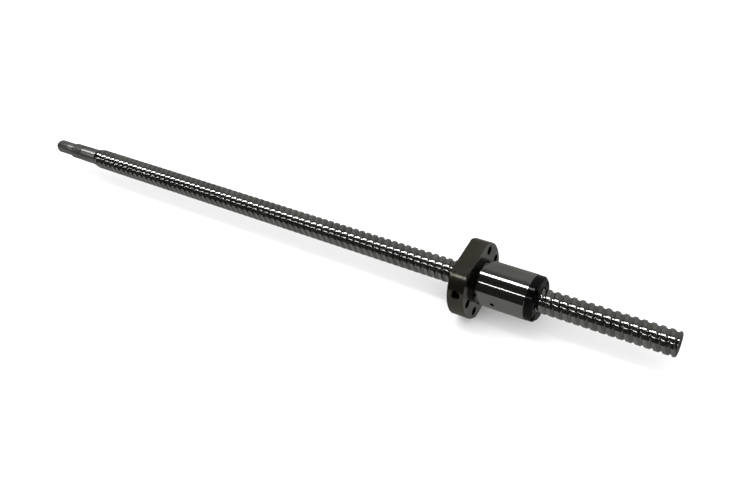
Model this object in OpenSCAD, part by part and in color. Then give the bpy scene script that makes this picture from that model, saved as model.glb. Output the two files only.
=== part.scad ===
// Ball screw assembly: a long ball screw with a flanged ball nut riding on it.
// The screw axis is X. The driven end points to -X, the plain free end to +X, +Z is up.
// The origin is on the axis, at the shoulder where the bearing journal meets the screw.
// All sizes are millimetres.

/* [Ball screw] */
// Crest diameter of the rolled thread
thread_d = 14.8; // [14.7:0.1:15.0]
// Diameter at the bottom of the ball grooves
core_d = 12.8; // [12.7:0.05:12.8]
// Distance along the axis between neighbouring grooves
groove_spacing = 5; // [5:0.05:5.2]
// Number of thread starts; the lead is this times the groove spacing
starts = 2; // [2]
// Length from the bearing shoulder to the free end
screw_len = 455; // [440:0.5:600]
// Length of the cone between the bearing journal and the full thread
runout_len = 6; // [5:0.5:8]

/* [Driven end] */
// Diameter of the journal that sits in the support bearings
bearing_d = 12; // [11:0.5:12]
// Length of that journal
bearing_len = 16; // [12:1:20]
// Crest diameter of the fine locknut thread
locknut_d = 11.9; // [11:0.1:11.9]
// Length of the locknut thread
locknut_len = 12.5; // [10:0.5:16]
// Diameter of the journal that the coupling clamps
coupling_d = 10; // [8:0.5:10]
// Length of the coupling journal
coupling_len = 18.5; // [15:0.5:30]

/* [Ball nut] */
// Where the back face of the flange stands at rest
flange_back_x = 327; // [147:10:347]
// Flange diameter
flange_d = 48; // [48:0.5:50]
// Distance across the two flats of the flange
flange_flats = 40; // [38:0.5:42]
// Flange thickness
flange_t = 11; // [10.5:0.5:11.5]
// Ground outside diameter of the nut body
body_d = 28; // [28:0.1:28.4]
// Length of the nut body in front of the flange
body_len = 33; // [32:0.5:36]
// Bolt circle of the six flange holes
bolt_circle_d = 38; // [37.5:0.1:38.5]
// Diameter of the flange holes
bolt_hole_d = 5.5; // [5:0.1:5.5]
// Wall diameter of the tapped lubrication port
port_d = 5; // [4.5:0.1:5]

/* [Balls] */
// Ball diameter
ball_d = 3.175; // [3.1:0.005:3.175]
// Diameter of the circle that the ball centres run on
ball_circle_d = 16.1; // [16.05:0.01:16.15]
// Turns of loaded groove between the middle of the nut and either deflector
half_turns = 1.55; // [1.55:0.01:1.56]

/* [End caps] */
// Length of the nose cap that stands out of the nut body
cap_len = 5; // [4:0.5:6]
// Diameter of the nose cap where it meets the body
cap_d = 27.6; // [27.2:0.1:27.8]
// Depth of the seats for caps and wipers at both ends of the nut
cap_seat_depth = 4; // [3.8:0.1:4]

/* [Hidden] */
$fn = 96;

steel = [0.62, 0.62, 0.60];
nut_steel = [0.42, 0.41, 0.38];
black_plastic = [0.05, 0.05, 0.05];
pale_plastic = [0.82, 0.80, 0.72];
bright_steel = [0.75, 0.75, 0.76];

lead = groove_spacing * starts;
// Axial position of the first groove centre on the +Y side, which sets the phase of the thread
groove_phase = 1.2;

core_r = core_d / 2;
thread_r = thread_d / 2;
ball_r = ball_d / 2;
ball_path_r = ball_circle_d / 2;
ball_step = ball_d + 0.08;

// The nut groove is a mirror image of the screw groove about the ball path
nut_crest_r = 2 * ball_path_r - thread_r;
nut_root_r = 2 * ball_path_r - core_r;
land_crest_half = groove_spacing / 2 - 1.62;
land_root_half = groove_spacing / 2 - 0.9;
land_gap = 0.02;
screw_land_segments = 12;
nut_land_segments = 24;

flange_r = flange_d / 2;
flange_front_x = flange_back_x + flange_t;
body_end_x = flange_front_x + body_len;
nut_mid_x = (flange_back_x + body_end_x) / 2;
nut_half_len = (body_end_x - flange_back_x) / 2;
relief_len = 2.5;
relief_depth = 0.3;
edge = 0.3;

// Return holes through the wall of the nut, one for each start
return_r = 1.75;
return_circle_r = 11.55;

// Deflectors, with x measured from the middle of the nut
deflector_x = nut_half_len - cap_seat_depth;
deflector_len = 5;
deflector_outer_r = 13.35;
deflector_from = -20;
deflector_to = 44;
finger_from = 32;
turn_x = lead * half_turns;
exit_angle = 360 * half_turns - 540;

// Seats of the wipers and their springs
cap_seat_r = 10.6;
wiper_seat_r = 9.4;
wiper_r = thread_r + 0.1;
cap_lip_r = 8;
cap_lip = 1;
spring_wire_r = 0.4;
spring_circle_r = 8.6;
spring_room = 1.6;

// Angle about X, from +Y towards +Z, of the return hole of a start
function return_angle(start) =
  180 + 360 * (nut_mid_x - groove_phase - start * groove_spacing) / lead;

// Z to X, X to Y and Y to Z, so that turned pieces are drawn along Z
module along_x() rotate([90, 0, 90]) children();

// A ring about the screw axis
module ring(inner_r, outer_r, x, len) {
  along_x() translate([0, 0, x]) difference() {
    cylinder(r = outer_r, h = len);
    translate([0, 0, -1]) cylinder(r = inner_r, h = len + 2);
  }
}

// A ring sector about the screw axis, between two angles measured from +Y towards +Z
module sector(inner_r, outer_r, x, len, from_angle, to_angle) {
  along_x() translate([0, 0, x]) rotate([0, 0, from_angle])
    rotate_extrude(angle = to_angle - from_angle) translate([inner_r, 0]) square([outer_r - inner_r, len]);
}

// Frame of one start in the nut: x from the middle of the nut, +Y through the return hole
module at_nose(start) translate([nut_mid_x, 0, 0]) rotate([return_angle(start), 0, 0]) children();
module at_flange(start) at_nose(start) rotate([0, 180, 0]) children();

// One helical land of trapezoid section that winds between two axial positions
module helical_land(start, from_x, to_x, root_r, crest_r, segments) {
  // The middle of a land lies half a groove spacing past the groove
  land_x = groove_phase + (start + 0.5) * groove_spacing;
  first = ceil((from_x + land_root_half - land_x) * segments / lead);
  last = floor((to_x - land_root_half - land_x) * segments / lead);
  count = last - first;
  section = [
    [root_r, -land_root_half], [crest_r, -land_crest_half],
    [crest_r, land_crest_half], [root_r, land_root_half]
  ];
  points = [
    for (k = [first:last]) let (turn = 360 * k / segments, x = land_x + lead * k / segments)
      for (corner = section) [x + corner[1], corner[0] * cos(turn), corner[0] * sin(turn)]
  ];
  sides = [
    for (i = [0:count - 1]) for (c = [0:3]) let (n = (c + 1) % 4)
      [4 * i + c, 4 * i + 4 + c, 4 * i + 4 + n, 4 * i + n]
  ];
  ends = [[0, 1, 2, 3], [4 * count + 3, 4 * count + 2, 4 * count + 1, 4 * count]];
  faces = concat(sides, ends);
  inward = crest_r < root_r;
  polyhedron(points, inward ? faces : [for (face = faces) [face[3], face[2], face[1], face[0]]]);
}

// Core of the screw with its turned journals
module screw_core() {
  locknut_x = -bearing_len - locknut_len;
  coupling_x = locknut_x - coupling_len;
  coupling_r = coupling_d / 2;
  locknut_r = locknut_d / 2;
  thread_depth = 0.6;
  undercut = 1;
  rings = floor(locknut_len - 2 * undercut);
  along_x() rotate_extrude() polygon(concat(
    [
      [0, coupling_x], [coupling_r - 1, coupling_x], [coupling_r, coupling_x + 2],
      [coupling_r, locknut_x], [locknut_r - thread_depth, locknut_x]
    ],
    [
      for (i = [0:rings - 1]) let (x = locknut_x + undercut / 2 + i)
        each [[locknut_r - thread_depth, x], [locknut_r, x + 0.4], [locknut_r, x + 0.6]]
    ],
    [
      [locknut_r - thread_depth, locknut_x + undercut / 2 + rings], [locknut_r - thread_depth, -bearing_len],
      [bearing_d / 2, -bearing_len], [bearing_d / 2, 0], [bearing_d / 2 + 0.6, 0],
      [thread_r, runout_len * 0.7], [thread_r, runout_len], [core_r, runout_len],
      [core_r, screw_len], [0, screw_len]
    ]
  ));
}

module screw_shaft() color(steel) {
  land_foot_r = (core_r + land_gap) / cos(180 / screw_land_segments);
  screw_core();
  for (start = [0:starts - 1])
    helical_land(start, runout_len + land_gap, screw_len, land_foot_r, thread_r, screw_land_segments);
}

// Round flange with two flats, normal to Z
module flange_plate() {
  intersection() {
    along_x() translate([0, 0, flange_back_x]) rotate_extrude() polygon([
      [0, 0], [flange_r - edge, 0], [flange_r, edge],
      [flange_r, flange_t - edge], [flange_r - edge, flange_t], [0, flange_t]
    ]);
    translate([flange_back_x - 1, -flange_d, -flange_flats / 2])
      cube([flange_t + 2, 2 * flange_d, flange_flats]);
  }
}

// Ground body, with a shallow relief next to the flange and a chamfered nose
module body_blank() {
  body_r = body_d / 2;
  along_x() rotate_extrude() polygon([
    [0, flange_back_x + 1], [body_r - relief_depth, flange_back_x + 1],
    [body_r - relief_depth, flange_front_x + relief_len], [body_r, flange_front_x + relief_len],
    [body_r, body_end_x - edge], [body_r - edge, body_end_x], [0, body_end_x]
  ]);
}

module flange_holes() {
  for (side = [0, 180]) for (turn = [-45, 0, 45])
    along_x() rotate([0, 0, side + turn]) translate([bolt_circle_d / 2, 0, flange_back_x - 1])
      cylinder(r = bolt_hole_d / 2, h = flange_t + 2);
}

// Hole drilled towards the axis from an angle about X, between two radii
module radial_hole(x, angle, hole_r, from_r, to_r) {
  translate([x, 0, 0]) rotate([angle, 0, 0]) rotate([-90, 0, 0]) translate([0, 0, from_r])
    cylinder(r = hole_r, h = to_r - from_r);
}

// Tapped port in the rim of the -Y lobe, with a chamfered mouth and an oilway to the balls
module lubrication_port() {
  port_angle = 157.5;
  port_depth = 7;
  port_chamfer = 0.6;
  oilway_r = 1.25;
  x = flange_back_x + flange_t / 2;
  radial_hole(x, port_angle, port_d / 2, flange_r - port_depth, flange_r + 1);
  radial_hole(x, port_angle, oilway_r, nut_crest_r, flange_r - 1);
  translate([x, 0, 0]) rotate([port_angle, 0, 0]) rotate([-90, 0, 0])
    translate([0, 0, flange_r - port_chamfer])
      cylinder(r1 = port_d / 2, r2 = port_d / 2 + 2 * port_chamfer, h = 2 * port_chamfer);
}

// Pocket for one deflector and the lug of the cap behind it
module deflector_pocket() {
  sector(nut_crest_r, deflector_outer_r, deflector_x - deflector_len, deflector_len + cap_seat_depth + 1,
         deflector_from, deflector_to);
}

module nut_body() color(nut_steel) {
  relief_hole_x = flange_front_x + 13.5;
  relief_hole_angle = 180;
  relief_hole_r = 1.3;
  difference() {
    union() {
      flange_plate();
      body_blank();
    }
    along_x() translate([0, 0, flange_back_x - 1]) cylinder(r = nut_root_r, h = 2 * nut_half_len + 2);
    along_x() translate([0, 0, flange_back_x - 1]) cylinder(r = cap_seat_r, h = cap_seat_depth + 1);
    along_x() translate([0, 0, body_end_x - cap_seat_depth]) cylinder(r = cap_seat_r, h = cap_seat_depth + 1);
    flange_holes();
    lubrication_port();
    radial_hole(relief_hole_x, relief_hole_angle, relief_hole_r, nut_crest_r, body_d);
    for (start = [0:starts - 1]) {
      at_nose(start) translate([-deflector_x, return_circle_r, 0]) rotate([0, 90, 0])
        cylinder(r = return_r, h = 2 * deflector_x);
      at_nose(start) deflector_pocket();
      at_flange(start) deflector_pocket();
    }
  }
  for (start = [0:starts - 1])
    helical_land(start, nut_mid_x - deflector_x + deflector_len, nut_mid_x + deflector_x - deflector_len,
                 nut_root_r - land_gap, nut_crest_r / cos(180 / nut_land_segments), nut_land_segments);
}

// A deflector lifts the balls out of the groove and turns them into the return hole
module deflector() {
  slack = 0.02;
  groove_y = ball_path_r * cos(exit_angle);
  groove_z = ball_path_r * sin(exit_angle);
  rise = return_circle_r - groove_y;
  difference() {
    union() {
      sector(nut_root_r, deflector_outer_r - slack, deflector_x - deflector_len + slack,
             deflector_len - slack, deflector_from + 0.1, deflector_to - 0.1);
      sector(nut_crest_r, nut_root_r + 0.5, deflector_x - deflector_len + 0.5,
             deflector_len - 1, finger_from, deflector_to - 2);
    }
    translate([turn_x + return_r - 2 * deflector_len, return_circle_r, 0]) rotate([0, 90, 0])
      cylinder(r = return_r, h = 2 * deflector_len);
    translate([turn_x, groove_y, groove_z]) rotate([-atan2(groove_z, rise), 0, 0]) rotate([-90, 0, 0])
      translate([0, 0, -1]) cylinder(r = return_r - 0.08, h = norm([rise, groove_z]) + 1);
  }
}

module nose_deflectors() color(pale_plastic)
  for (start = [0:starts - 1]) at_nose(start) deflector();

module flange_deflectors() color(pale_plastic)
  for (start = [0:starts - 1]) at_flange(start) deflector();

// Lug of a cap that fills the pocket behind a deflector
module cap_lug() {
  inset = 0.2;
  sector(cap_seat_r - 0.6, deflector_outer_r - 0.02, deflector_x + inset, cap_seat_depth - 2 * inset,
         deflector_from + 0.1, deflector_to - 0.1);
}

// Black cap on the nose, with a spigot in the body and a lip that holds the wiper
module nose_cap() color(black_plastic) {
  cap_r = cap_d / 2;
  seat_x = body_end_x - cap_seat_depth;
  end_x = body_end_x + cap_len;
  bevel = 1.4;
  difference() {
    union() {
      along_x() rotate_extrude() polygon([
        [0, seat_x], [cap_seat_r - 0.02, seat_x], [cap_seat_r - 0.02, body_end_x], [cap_r, body_end_x],
        [cap_r, end_x - bevel], [cap_r - bevel, end_x], [0, end_x]
      ]);
      for (start = [0:starts - 1]) at_nose(start) cap_lug();
    }
    along_x() translate([0, 0, seat_x - 1]) cylinder(r = wiper_seat_r, h = end_x - cap_lip - seat_x + 1);
    along_x() translate([0, 0, seat_x - 1]) cylinder(r = cap_lip_r, h = cap_seat_depth + cap_len + 2);
    cap_slots(end_x, cap_r);
  }
}

// Shallow slots in the face of the nose cap, where a pin wrench turns it
module cap_slots(end_x, cap_r) {
  slot_w = 3;
  slot_depth = 1.2;
  for (turn = [0, 90, 180, 270]) along_x() rotate([0, 0, turn + 20])
    translate([cap_lip_r + 1.6, -slot_w / 2, end_x - slot_depth]) cube([cap_r, slot_w, slot_depth + 1]);
}

// Flat cap flush with the back face of the flange
module flange_cap() color(black_plastic) {
  along_x() rotate_extrude() polygon([
    [cap_lip_r, flange_back_x], [cap_seat_r - 0.02, flange_back_x],
    [cap_seat_r - 0.02, flange_back_x + cap_seat_depth], [wiper_seat_r, flange_back_x + cap_seat_depth],
    [wiper_seat_r, flange_back_x + cap_lip], [cap_lip_r, flange_back_x + cap_lip]
  ]);
  for (start = [0:starts - 1]) at_flange(start) cap_lug();
}

// Wipers keep dirt off the thread; each is pressed in by a spring ring
nose_wiper_len = cap_seat_depth + cap_len - cap_lip - spring_room;
flange_wiper_len = cap_seat_depth - cap_lip - spring_room;
flange_wiper_x = flange_back_x + cap_lip + spring_room;

module nose_wiper() color(pale_plastic)
  ring(wiper_r, wiper_seat_r - 0.02, body_end_x - cap_seat_depth, nose_wiper_len);

module flange_wiper() color(pale_plastic)
  ring(wiper_r, wiper_seat_r - 0.02, flange_wiper_x, flange_wiper_len);

module spring_ring(x) {
  along_x() translate([0, 0, x]) rotate_extrude() translate([spring_circle_r, 0]) circle(r = spring_wire_r);
}

module nose_wiper_spring() color(bright_steel)
  spring_ring(body_end_x - cap_seat_depth + nose_wiper_len + spring_room / 2);

module flange_wiper_spring() color(bright_steel)
  spring_ring(flange_back_x + cap_lip + spring_room / 2);

// Balls in the loaded groove, spaced evenly along the helix
module loaded_balls(start) {
  turn_len = norm([2 * PI * ball_path_r, lead]);
  count = floor(2 * half_turns * turn_len / ball_step);
  for (i = [0:count]) let (turns = half_turns * (2 * i / count - 1))
    at_nose(start) rotate([180 + 360 * turns, 0, 0]) translate([lead * turns, ball_path_r, 0])
      sphere(r = ball_r);
}

// Balls on their way back through the return hole
module return_balls(start) {
  count = floor(2 * turn_x / ball_step);
  for (i = [0:count])
    at_nose(start) translate([turn_x * (2 * i / count - 1), return_circle_r, 0]) sphere(r = ball_r);
}

module loaded_balls_start_1() color(bright_steel) loaded_balls(0);
module loaded_balls_start_2() color(bright_steel) loaded_balls(1);
module return_balls_start_1() color(bright_steel) return_balls(0);
module return_balls_start_2() color(bright_steel) return_balls(1);

screw_shaft();
nut_body();
nose_cap();
flange_cap();
nose_deflectors();
flange_deflectors();
nose_wiper();
flange_wiper();
nose_wiper_spring();
flange_wiper_spring();
loaded_balls_start_1();
loaded_balls_start_2();
return_balls_start_1();
return_balls_start_2();
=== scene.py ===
"""Ball screw assembly: detailed screw and nut in the frame of the CAD model, on a pale floor."""
import math

import bmesh
import bpy
from mathutils import Matrix, Quaternion, Vector

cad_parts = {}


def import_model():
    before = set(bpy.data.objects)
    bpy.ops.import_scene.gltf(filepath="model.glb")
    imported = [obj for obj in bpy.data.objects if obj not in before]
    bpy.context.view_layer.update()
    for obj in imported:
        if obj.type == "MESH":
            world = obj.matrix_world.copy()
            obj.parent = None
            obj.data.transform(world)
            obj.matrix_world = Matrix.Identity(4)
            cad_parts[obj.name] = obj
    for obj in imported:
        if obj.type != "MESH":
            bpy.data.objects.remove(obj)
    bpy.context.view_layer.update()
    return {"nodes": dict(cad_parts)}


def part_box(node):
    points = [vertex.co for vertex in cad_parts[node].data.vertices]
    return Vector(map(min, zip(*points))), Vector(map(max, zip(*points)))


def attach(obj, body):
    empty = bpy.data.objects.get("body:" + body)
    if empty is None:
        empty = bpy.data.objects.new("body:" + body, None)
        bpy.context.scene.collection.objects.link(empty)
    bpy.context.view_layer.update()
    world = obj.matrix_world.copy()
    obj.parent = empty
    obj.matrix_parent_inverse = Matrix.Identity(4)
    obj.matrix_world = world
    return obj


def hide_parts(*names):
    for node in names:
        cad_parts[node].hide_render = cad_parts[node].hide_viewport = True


MM = 0.001

# ---- sizes of the screw, in millimetres, as the CAD model has them ----
LEAD = 10.0
SPACING = 5.0
PHASE = 1.2
CREST_R = 7.4
BALL_PATH_R = 8.05
GROOVE_ARC_R = 1.65
RUNOUT_END = 6.0
BEARING_LEN = 16.0
BEARING_R = 6.0
LOCKNUT_LEN = 12.5
LOCKNUT_R = 5.95
LOCKNUT_PITCH = 1.0
COUPLING_R = 5.0

# ---- finer shapes that the CAD model leaves out, in millimetres ----
GROOVE_LEAN = 0.045    # offset of each arc's centre, across the groove and outward
EDGE_WIDTH = 0.10      # rounding between groove and crest
RUNOUT_START = 1.5
CONE_SHARE = 0.7       # of the run-out: the cone that the thread starts with
SHOULDER = 0.6         # height of the step from the bearing journal to that cone
END_CHAMFER = 0.7
END_RING = 1.0         # from the crests in to a ring that keeps the free end's face shaded flat
THREAD_DEPTH = 0.6     # of the locknut thread
THREAD_STEP = 0.7      # from its crests down to its first edge
THREAD_LEAD_IN = 0.5
UNDERCUT_LEN = 1.5     # between the locknut thread and the bearing journal
BEARING_CHAMFER = 0.3
COUPLING_CHAMFER_LEN = 2.0
COUPLING_CHAMFER_R = 1.0

# ---- centre holes of the screw: (depth, radius) in millimetres, in the order of each outline ----
FREE_END_CENTRE = ((0.0, 2.2), (1.2, 1.0), (3.0, 0.9), (3.5, 0.0))
DRIVEN_END_CENTRE = ((3.4, 0.0), (3.0, 0.8), (1.1, 0.9), (0.0, 2.0))

# ---- how finely the screw is divided ----
THREAD_COLUMNS = 72
LOCKNUT_COLUMNS = 64
LATHE_COLUMNS = 96
SHARP_ANGLE = 38.0     # degrees

# ---- borders between finishes and painted shade, in millimetres ----
LAND_MARGIN = 0.25     # below the screw's crests
FLANGE_T = 11.0
FACE_MARGIN = 0.05     # before and behind the flange's front face
NECK_LEN = 2.4
GROUND_R = 13.8        # a little inside the ground body's surface

# ---- camera: place in metres, line of sight, turn about it in degrees, lens in millimetres ----
CAMERA_PLACE = (0.5082, -0.2653, 0.3751)
CAMERA_SIGHT = (-0.4718, 0.5059, -0.7222)
CAMERA_ROLL = -15.97
CAMERA_LENS = 38.79

# ---- room: brightness, the greys that polished metal sees in its place, and metres ----
ROOM_LIGHT = 1.4
FLOOR_GLOW = 0.16
WALL_GLOW = 0.14
WARMTH = 0.95          # share of blue in those greys
MIDDLE_X = 0.2         # about half way along the screw
FLOOR_SIZE = 20.0
FLOOR_GAP = 0.0005

# ---- soft boxes: name, angle from +Y towards +Z in degrees, width in metres, power in watts ----
STRIPS = (("key_strip", 87.6, 0.14, 5.0), ("thin_strip", 133.0, 0.021, 0.9))
STRIP_LENGTH = 1.75
STRIP_SHIFT = -0.675   # towards the driven end: both strips end a little before the free end
STRIP_DISTANCE = 1.0


def smooth_min(a, b, width):
    """The smaller of two radii, rounded where they cross."""
    blend = max(width - abs(a - b), 0.0) / width
    return min(a, b) - blend * blend * width * 0.25


def groove_radius(offset):
    """Gothic-arc groove: radius at an axial offset from the middle of the nearest groove."""
    reach = abs(offset) + GROOVE_LEAN
    if reach >= GROOVE_ARC_R:
        return CREST_R + 1.0    # past the groove, where the crest is lower and counts
    return BALL_PATH_R + GROOVE_LEAN - math.sqrt(GROOVE_ARC_R ** 2 - reach ** 2)


def screw_radius(x, turn, end_x):
    """Radius of the screw at x millimetres along the axis and an angle in turns."""
    offset = (x - PHASE - LEAD * turn) % SPACING
    offset = min(offset, SPACING - offset)
    radius = smooth_min(groove_radius(offset), CREST_R, EDGE_WIDTH)
    cone = BEARING_R + SHOULDER + (CREST_R - BEARING_R - SHOULDER) * x / (RUNOUT_END * CONE_SHARE)
    fade = min(max((x - RUNOUT_START) / (RUNOUT_END - RUNOUT_START), 0.0), 1.0)
    radius = CREST_R + (radius - CREST_R) * fade
    chamfer = CREST_R - END_CHAMFER + (end_x - x)
    return min(radius, cone, chamfer)


def mesh_object(name, verts, faces):
    """New smooth mesh object with its normals outward."""
    mesh = bpy.data.meshes.new(name)
    mesh.from_pydata(verts, [], faces)
    work = bmesh.new()
    work.from_mesh(mesh)
    bmesh.ops.remove_doubles(work, verts=work.verts, dist=1e-6)
    bmesh.ops.dissolve_degenerate(work, edges=work.edges, dist=1e-7)
    bmesh.ops.recalc_face_normals(work, faces=work.faces)
    work.to_mesh(mesh)
    work.free()
    for face in mesh.polygons:
        face.use_smooth = True
    obj = bpy.data.objects.new(name, mesh)
    bpy.context.scene.collection.objects.link(obj)
    return obj


def sharpen(obj):
    """Keeps steep edges sharp under smooth shading."""
    mesh = obj.data
    work = bmesh.new()
    work.from_mesh(mesh)
    for edge in work.edges:
        shallow = edge.calc_face_angle(0.0) < math.radians(SHARP_ANGLE)
        edge.smooth = len(edge.link_faces) == 2 and shallow
    work.to_mesh(mesh)
    work.free()


def helical_skin(name, start_x, end_x, lead, spacing, phase, offsets, radius, columns):
    """Skin of a thread: its rows follow the helix, so groove edges stay crisp.

    Spare rows past both ends collapse onto the ends.
    """
    first = math.floor((start_x - phase - lead) / spacing) - 3
    last = math.ceil((end_x - phase) / spacing) + 3
    rows = [k * spacing + offset for k in range(first, last) for offset in offsets]
    verts = []
    for column in range(columns):
        turn = column / columns
        angle = 2 * math.pi * turn
        for row in rows:
            x = min(max(phase + lead * turn + row, start_x), end_x)
            r = radius(x, turn)
            verts.append((x * MM, r * math.cos(angle) * MM, r * math.sin(angle) * MM))
    count = len(rows)
    shift = round(lead / spacing) * len(offsets)
    faces = []
    for column in range(columns):
        wrap = column == columns - 1
        for k in range(count - 1):
            here = column * count + k
            there = (k + shift) if wrap else here + count
            if wrap and k + shift + 1 >= count:
                continue
            faces.append((here, here + 1, there + 1, there))
    return mesh_object(name, verts, faces)


def lathe(name, profile):
    """Solid of revolution about X from (x, radius) points in millimetres."""
    verts = []
    for column in range(LATHE_COLUMNS):
        angle = 2 * math.pi * column / LATHE_COLUMNS
        for x, r in profile:
            verts.append((x * MM, r * math.cos(angle) * MM, r * math.sin(angle) * MM))
    count = len(profile)
    faces = []
    for column in range(LATHE_COLUMNS):
        here = column * count
        there = (column + 1) % LATHE_COLUMNS * count
        for k in range(count - 1):
            faces.append((here + k, here + k + 1, there + k + 1, there + k))
    return mesh_object(name, verts, faces)


def join(name, parts):
    """Joins mesh objects into the first one."""
    bpy.ops.object.select_all(action="DESELECT")
    for part in parts:
        part.select_set(True)
    bpy.context.view_layer.objects.active = parts[0]
    bpy.ops.object.join()
    parts[0].name = name
    return parts[0]


# ---- materials ----

class Nodes:
    """Small helper round one material's node tree."""

    def __init__(self, name):
        self.material = bpy.data.materials.new(name)
        self.material.use_nodes = True
        self.tree = self.material.node_tree
        self.shader = self.tree.nodes["Principled BSDF"]
        self.coords = self.add("ShaderNodeTexCoord").outputs["Object"]

    def add(self, kind, **settings):
        """New node with its settings."""
        node = self.tree.nodes.new(kind)
        for key, value in settings.items():
            setattr(node, key, value)
        return node

    def link(self, source, target):
        """Joins two sockets."""
        self.tree.links.new(source, target)

    def noise(self, scale, detail=4.0, stretch=(1.0, 1.0, 1.0)):
        """Noise in the object's own space; a large stretch makes it finer along that axis."""
        mapping = self.add("ShaderNodeMapping")
        mapping.inputs["Scale"].default_value = stretch
        self.link(self.coords, mapping.inputs["Vector"])
        noise = self.add("ShaderNodeTexNoise")
        noise.inputs["Scale"].default_value = scale
        noise.inputs["Detail"].default_value = detail
        self.link(mapping.outputs["Vector"], noise.inputs["Vector"])
        return noise.outputs["Fac"]

    def ramp(self, fac, low, high, start=0.3, end=0.7):
        """Colour ramp between two colours, or two grey values."""
        ramp = self.add("ShaderNodeValToRGB")
        for element, value, place in zip(ramp.color_ramp.elements, (low, high), (start, end)):
            grey = (value, value, value) if isinstance(value, (int, float)) else value
            element.color = (*grey, 1.0)
            element.position = place
        self.link(fac, ramp.inputs["Fac"])
        return ramp.outputs["Color"]

    def mix(self, fac, low, high):
        """Mix of two colours."""
        mix = self.add("ShaderNodeMix", data_type="RGBA")
        self.link(fac, mix.inputs["Factor"])
        self.link(low, mix.inputs["A"])
        self.link(high, mix.inputs["B"])
        return mix.outputs["Result"]

    def math(self, operation, first, second):
        """Sum, product or test of two sockets or numbers."""
        node = self.add("ShaderNodeMath", operation=operation)
        for socket, value in zip(node.inputs, (first, second)):
            if isinstance(value, (int, float)):
                socket.default_value = value
            else:
                self.link(value, socket)
        return node.outputs["Value"]

    def bump(self, height, strength, distance):
        """Relief on the shader's normal, with its depth in metres."""
        bump = self.add("ShaderNodeBump")
        bump.inputs["Strength"].default_value = strength
        bump.inputs["Distance"].default_value = distance
        self.link(height, bump.inputs["Height"])
        self.link(bump.outputs["Normal"], self.shader.inputs["Normal"])

    def place(self):
        """Distance along the screw axis, and distance from it, in metres."""
        split = self.add("ShaderNodeSeparateXYZ")
        self.link(self.coords, split.inputs["Vector"])
        flat = self.add("ShaderNodeCombineXYZ")
        self.link(split.outputs["Y"], flat.inputs["Y"])
        self.link(split.outputs["Z"], flat.inputs["Z"])
        length = self.add("ShaderNodeVectorMath", operation="LENGTH")
        self.link(flat.outputs["Vector"], length.inputs[0])
        return split.outputs["X"], length.outputs["Value"]


def screw_steel():
    """Rolled, polished steel: faint clouds, fine lines round it, and painted shade in the grooves, which
    are coloured darker than the lands.
    """
    n = Nodes("screw_steel")
    n.shader.inputs["Metallic"].default_value = 1.0
    radius = n.place()[1]
    cloud = n.noise(60.0, 5.0)
    # Painted shade: the grooves get a darker base colour than the lands
    groove = n.ramp(cloud, (0.42, 0.42, 0.41), (0.60, 0.60, 0.59))
    land = n.ramp(cloud, (0.60, 0.60, 0.60), (0.78, 0.78, 0.77))
    on_land = n.math("GREATER_THAN", radius, (CREST_R - LAND_MARGIN) * MM)
    n.link(n.mix(on_land, groove, land), n.shader.inputs["Base Color"])
    fine = n.noise(900.0, 3.0, (8.0, 1.0, 1.0))
    n.link(n.ramp(fine, 0.07, 0.13, 0.3, 0.75), n.shader.inputs["Roughness"])
    n.bump(fine, 0.10, 0.00002)
    return n.material


def turned_steel():
    """Journals: bright turned steel with close tool marks round the axis."""
    n = Nodes("turned_steel")
    n.shader.inputs["Metallic"].default_value = 1.0
    cloud = n.noise(90.0, 4.0)
    color = n.ramp(cloud, (0.40, 0.40, 0.39), (0.56, 0.56, 0.55))
    n.link(color, n.shader.inputs["Base Color"])
    lines = n.noise(1500.0, 2.0, (6.0, 0.4, 0.4))
    n.link(n.ramp(lines, 0.22, 0.38), n.shader.inputs["Roughness"])
    n.bump(lines, 0.25, 0.00003)
    return n.material


def sawn_and_shaded_steel():
    """Free end: dull sawn steel with coarse saw lines across it, coloured dark as painted shade on the
    end face.
    """
    n = Nodes("sawn_and_shaded_steel")
    n.shader.inputs["Metallic"].default_value = 1.0
    lines = n.noise(400.0, 3.0, (0.2, 0.2, 8.0))
    # Painted shade: the end face's base colour is kept dark, and the saw lines vary it
    color = n.ramp(lines, (0.10, 0.098, 0.09), (0.20, 0.195, 0.18))
    n.link(color, n.shader.inputs["Base Color"])
    n.link(n.ramp(lines, 0.35, 0.50), n.shader.inputs["Roughness"])
    n.bump(lines, 0.3, 0.00004)
    return n.material


def nut_steel(face_x):
    """Nut: dark oiled flange, clean machined front face, a near-black neck, partly its own unground
    finish and partly painted shade in the corner by the face, and a bright ground body.
    """
    n = Nodes("nut_steel")
    n.shader.inputs["Metallic"].default_value = 1.0
    x, radius = n.place()
    past_neck = n.math("GREATER_THAN", x, face_x + NECK_LEN * MM)
    outside = n.math("GREATER_THAN", radius, GROUND_R * MM)
    ground = n.math("MULTIPLY", past_neck, outside)
    cloud = n.noise(70.0, 5.0)
    dark = n.ramp(cloud, (0.185, 0.172, 0.140), (0.275, 0.260, 0.215))
    bright = n.ramp(cloud, (0.58, 0.58, 0.57), (0.68, 0.68, 0.67))
    behind = n.math("GREATER_THAN", x, face_x - FACE_MARGIN * MM)
    before = n.math("LESS_THAN", x, face_x + FACE_MARGIN * MM)
    face = n.math("MULTIPLY", behind, before)
    machined = n.ramp(cloud, (0.34, 0.335, 0.32), (0.50, 0.495, 0.48))
    # Partly painted shade: the neck, and whatever lies inside the ground radius behind it, is coloured
    # near black
    neck = n.ramp(cloud, (0.045, 0.042, 0.034), (0.085, 0.080, 0.066))
    rear = n.mix(behind, dark, n.mix(face, neck, machined))
    n.link(n.mix(ground, rear, bright), n.shader.inputs["Base Color"])
    fine = n.noise(1200.0, 3.0, (5.0, 1.0, 1.0))
    rough = n.ramp(fine, 0.13, 0.21)
    polished = n.ramp(fine, 0.06, 0.10)
    n.link(n.mix(ground, rough, polished), n.shader.inputs["Roughness"])
    n.bump(fine, 0.12, 0.00002)
    return n.material


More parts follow.
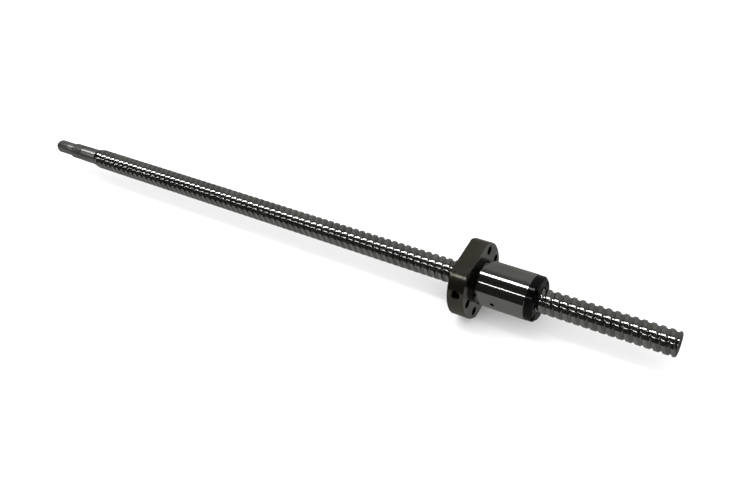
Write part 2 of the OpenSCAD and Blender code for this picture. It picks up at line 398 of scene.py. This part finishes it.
def moulded_plastic(name, dark, light, rough_low, rough_high, specular=0.5):
    """Injection-moulded plastic with a faint mould texture and rubbed patches."""
    n = Nodes(name)
    n.shader.inputs["Specular IOR Level"].default_value = specular
    cloud = n.noise(120.0, 5.0)
    n.link(n.ramp(cloud, dark, light), n.shader.inputs["Base Color"])
    grain = n.noise(2500.0, 2.0)
    n.link(n.ramp(cloud, rough_low, rough_high, 0.35, 0.7), n.shader.inputs["Roughness"])
    n.bump(grain, 0.15, 0.00002)
    return n.material


def polished_steel(name, grey):
    """Balls and spring wire: polished steel with faint clouds."""
    n = Nodes(name)
    n.shader.inputs["Metallic"].default_value = 1.0
    cloud = n.noise(300.0, 3.0)
    n.link(n.ramp(cloud, grey, grey * 1.12), n.shader.inputs["Base Color"])
    n.link(n.ramp(cloud, 0.05, 0.14, 0.35, 0.7), n.shader.inputs["Roughness"])
    return n.material


def set_material(obj, material):
    """Gives an object one material."""
    obj.data.materials.clear()
    obj.data.materials.append(material)


# ---- the screw ----

def groove_offsets():
    """Axial steps across one groove and half of each land beside it, closest at its edges."""
    half = [0.0, 0.25, 0.5, 0.75, 0.95, 1.12, 1.25, 1.34, 1.40, 1.44, 1.48, 1.53, 1.60, 1.75, 2.1]
    return half + [SPACING / 2] + [SPACING - step for step in reversed(half[1:])]


def build_thread(end_x):
    """Ball thread from the shoulder to the free end."""
    return helical_skin(
        "thread", 0.0, end_x, LEAD, SPACING, PHASE, groove_offsets(),
        lambda x, turn: screw_radius(x, turn, end_x), THREAD_COLUMNS)


def build_free_end(end_x):
    """Sawn and faced end with a small centre hole."""
    rim = [(end_x, CREST_R - END_CHAMFER), (end_x, CREST_R - END_RING)]
    return lathe("free_end", rim + [(end_x - depth, r) for depth, r in FREE_END_CENTRE])


def build_journals(start_x, locknut_x):
    """Centre hole, chamfered coupling journal and the step up to the locknut thread."""
    hole = [(start_x + depth, r) for depth, r in DRIVEN_END_CENTRE]
    return lathe("journals", hole + [
        (start_x, COUPLING_R - COUPLING_CHAMFER_R), (start_x + COUPLING_CHAMFER_LEN, COUPLING_R),
        (locknut_x, COUPLING_R), (locknut_x, LOCKNUT_R - THREAD_STEP),
        (locknut_x + THREAD_LEAD_IN, LOCKNUT_R - THREAD_DEPTH)])


def build_locknut_thread(locknut_x):
    """Fine single-start thread with sharp crests."""
    def radius(x, turn):
        return LOCKNUT_R - THREAD_DEPTH * abs(1.0 - 2.0 * ((x - turn) % LOCKNUT_PITCH))

    offsets = [0.0, 0.2, 0.42, 0.58, 0.8]
    return helical_skin(
        "locknut_thread", locknut_x + THREAD_LEAD_IN, -BEARING_LEN - UNDERCUT_LEN,
        LOCKNUT_PITCH, LOCKNUT_PITCH, 0.0, offsets, radius, LOCKNUT_COLUMNS)


def build_bearing_seat():
    """Undercut, chamfered bearing journal and the shoulder at the origin."""
    undercut_r = LOCKNUT_R - THREAD_DEPTH
    return lathe("bearing_seat", [
        (-BEARING_LEN - UNDERCUT_LEN, undercut_r), (-BEARING_LEN, undercut_r),
        (-BEARING_LEN, BEARING_R - BEARING_CHAMFER), (-BEARING_LEN + BEARING_CHAMFER, BEARING_R),
        (0.0, BEARING_R), (0.0, BEARING_R + SHOULDER)])


def build_screw(box):
    """Fine screw in place of the plain CAD screw."""
    low, high = (Vector(corner) / MM for corner in box)
    locknut_x = -BEARING_LEN - LOCKNUT_LEN
    thread = build_thread(high.x)
    free_end = build_free_end(high.x)
    turned_parts = [
        build_journals(low.x, locknut_x), build_locknut_thread(locknut_x), build_bearing_seat()]
    parts = [thread, free_end] + turned_parts
    for part in parts:
        sharpen(part)
    set_material(thread, screw_steel())
    set_material(free_end, sawn_and_shaded_steel())
    turned = turned_steel()
    for part in turned_parts:
        set_material(part, turned)
    screw = join("screw_fine", parts)
    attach(screw, "screw")
    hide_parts("screw_shaft")


# ---- the nut ----

def finish_nut(nodes):
    """Materials of the nut's pieces, which keep their CAD shapes."""
    flange_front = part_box("nut_body")[0][0] + FLANGE_T * MM
    set_material(nodes["nut_body"], nut_steel(flange_front))
    black = moulded_plastic("black_plastic", 0.001, 0.003, 0.07, 0.13, specular=0.3)
    wiper = moulded_plastic("wiper_plastic", 0.012, 0.03, 0.35, 0.5)
    pale = moulded_plastic("deflector_plastic", (0.55, 0.52, 0.44), (0.66, 0.63, 0.55), 0.35, 0.5)
    ball = polished_steel("ball_steel", 0.72)
    wire = polished_steel("spring_steel", 0.5)
    # The first word that a piece's name holds counts, so a wiper's spring is wire
    finishes = (("cap", black), ("spring", wire), ("wiper", wiper), ("deflectors", pale), ("balls", ball))
    for name, node in nodes.items():
        for word, material in finishes:
            if word in name:
                set_material(node, material)
                break


# ---- the scene round it ----

def strip_light(name, turn, width, power):
    """Long soft box parallel to the screw, at an angle round it from +Y towards +Z."""
    data = bpy.data.lights.new(name, "AREA")
    data.shape = "RECTANGLE"
    data.size = STRIP_LENGTH
    data.size_y = width
    data.energy = power
    light = bpy.data.objects.new(name, data)
    bpy.context.scene.collection.objects.link(light)
    angle = math.radians(turn)
    outward = Vector((0.0, math.cos(angle), math.sin(angle)))
    along = Vector((1.0, 0.0, 0.0))
    across = outward.cross(along)
    middle = Vector((MIDDLE_X, 0.0, 0.0))
    place = middle + outward * STRIP_DISTANCE + along * STRIP_SHIFT
    light.matrix_world = Matrix((
        (1.0, across.x, outward.x, place.x), (0.0, across.y, outward.y, place.y),
        (0.0, across.z, outward.z, place.z), (0.0, 0.0, 0.0, 1.0)))


def build_floor(height):
    """Pale floor; polished metal sees it as a duller grey."""
    bpy.ops.mesh.primitive_plane_add(size=FLOOR_SIZE, location=(MIDDLE_X, 0.0, height))
    floor = bpy.context.object
    floor.name = "floor"
    n = Nodes("floor")
    n.shader.inputs["Roughness"].default_value = 0.9
    n.shader.inputs["Specular IOR Level"].default_value = 0.0
    n.shader.inputs["Base Color"].default_value = (0.9, 0.9, 0.9, 1.0)
    path = n.add("ShaderNodeLightPath")
    dull = n.add("ShaderNodeEmission")
    dull.inputs["Color"].default_value = (FLOOR_GLOW, FLOOR_GLOW, FLOOR_GLOW * WARMTH, 1.0)
    choose = n.add("ShaderNodeMixShader")
    n.link(path.outputs["Is Glossy Ray"], choose.inputs["Fac"])
    n.link(n.shader.outputs["BSDF"], choose.inputs[1])
    n.link(dull.outputs["Emission"], choose.inputs[2])
    n.link(choose.outputs["Shader"], n.tree.nodes["Material Output"].inputs["Surface"])
    set_material(floor, n.material)


def build_world():
    """Even pale room; in reflections it is dark, with a grey wall on the far side, towards +Y."""
    world = bpy.data.worlds.new("studio")
    bpy.context.scene.world = world
    world.use_nodes = True
    tree = world.node_tree
    nodes = tree.nodes
    background = nodes["Background"]
    background.inputs["Color"].default_value = (1.0, 1.0, 1.0, 1.0)
    background.inputs["Strength"].default_value = ROOM_LIGHT
    dark = nodes.new("ShaderNodeBackground")
    coords = nodes.new("ShaderNodeTexCoord")
    split = nodes.new("ShaderNodeSeparateXYZ")
    tree.links.new(coords.outputs["Generated"], split.inputs["Vector"])
    ramp = nodes.new("ShaderNodeValToRGB")
    near, wall = ramp.color_ramp.elements
    near.position = 0.15
    near.color = (0.010, 0.010, 0.009, 1.0)
    wall.position = 0.55
    wall.color = (WALL_GLOW, WALL_GLOW, WALL_GLOW * WARMTH, 1.0)
    tree.links.new(split.outputs["Y"], ramp.inputs["Fac"])
    tree.links.new(ramp.outputs["Color"], dark.inputs["Color"])
    path = nodes.new("ShaderNodeLightPath")
    choose = nodes.new("ShaderNodeMixShader")
    tree.links.new(path.outputs["Is Glossy Ray"], choose.inputs["Fac"])
    tree.links.new(background.outputs["Background"], choose.inputs[1])
    tree.links.new(dark.outputs["Background"], choose.inputs[2])
    tree.links.new(choose.outputs["Shader"], nodes["World Output"].inputs["Surface"])


def build_camera():
    """Camera above the nut's end of the screw, turned a little about its line of sight."""
    data = bpy.data.cameras.new("camera")
    data.lens = CAMERA_LENS
    data.clip_start = 0.01
    camera = bpy.data.objects.new("camera", data)
    bpy.context.scene.collection.objects.link(camera)
    sight = Vector(CAMERA_SIGHT)
    turn = sight.to_track_quat("-Z", "Y") @ Quaternion((0.0, 0.0, 1.0), math.radians(CAMERA_ROLL))
    camera.rotation_mode = "QUATERNION"
    camera.rotation_quaternion = turn
    camera.location = CAMERA_PLACE
    bpy.context.scene.camera = camera
    # Plain sRGB keeps the pale studio near white, as product pictures are shown
    bpy.context.scene.view_settings.view_transform = "Standard"


def main():
    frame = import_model()

    build_camera()
    build_screw(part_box("screw_shaft"))
    finish_nut(frame["nodes"])
    build_floor(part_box("nut_body")[0][2] - FLOOR_GAP)
    build_world()
    for strip in STRIPS:
        strip_light(*strip)


main()
